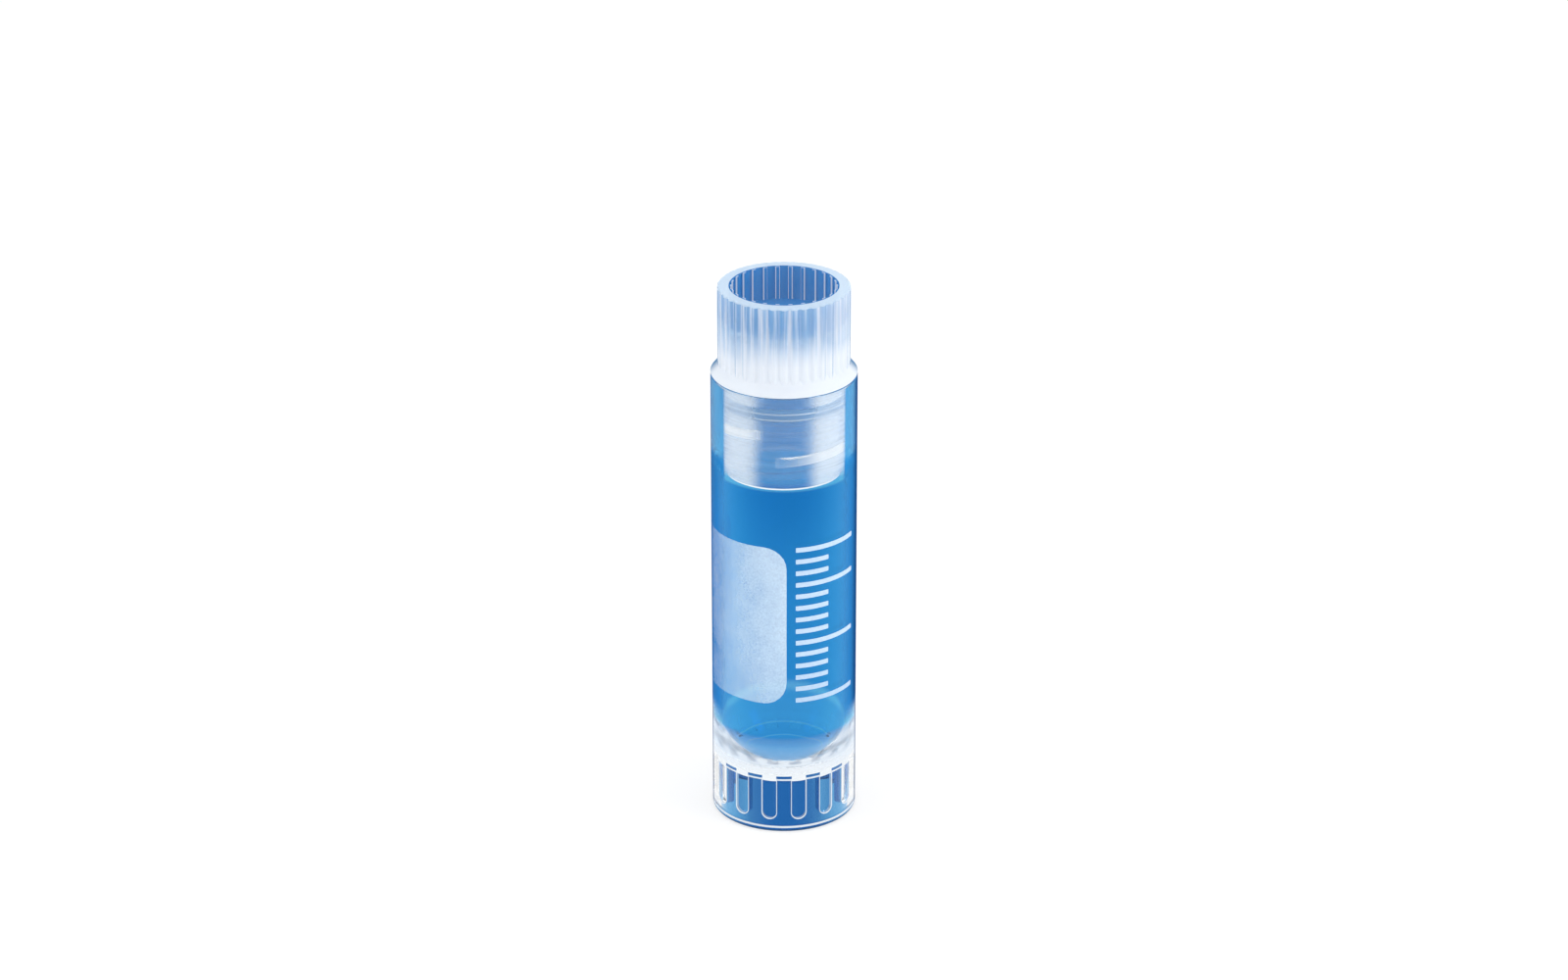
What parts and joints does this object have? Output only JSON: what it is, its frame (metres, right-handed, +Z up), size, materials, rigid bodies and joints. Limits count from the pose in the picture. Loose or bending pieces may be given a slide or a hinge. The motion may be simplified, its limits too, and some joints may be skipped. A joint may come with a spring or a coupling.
{
  "type": "cryovial",
  "caption": "Self-standing cryogenic storage vial with a round-bottomed bore, a ribbed foot, and a fluted screw cap whose hollow threaded plug carries a seal ring.",
  "frame": {"origin": "on the vial's axis, on the surface that the foot stands on", "axes": "+Z up along the vial's axis, -Y towards the printed side with the marking panel at -X and the graduations at +X"},
  "size_m": [0.0125, 0.0124, 0.0485],
  "materials": {
    "tube": "clear moulded polypropylene, glossy",
    "cap": "translucent moulded polypropylene, satin",
    "seal_ring": "translucent silicone, satin",
    "print": "white screen print"
  },
  "bodies": {
    "tube": {"tube": "tube"},
    "seal_ring": {"seal_ring": "seal_ring"},
    "cap": {"cap": "cap"}
  },
  "joints": [
    {"name": "cap_lift", "type": "slide", "parent": "tube", "child": "seal_ring", "axis": [0, 0, 1], "range_m": [0, 0.00333]},
    {"name": "cap_turn", "type": "hinge", "parent": "seal_ring", "child": "cap", "pos_m": [0, 0, 0.0388], "axis": [0, 0, 1], "range_deg": [0, 480]}
  ],
  "couplings": [
    {"joint": "cap_turn", "follows": "cap_lift", "rad_per_m": 2513.3}
  ]
}
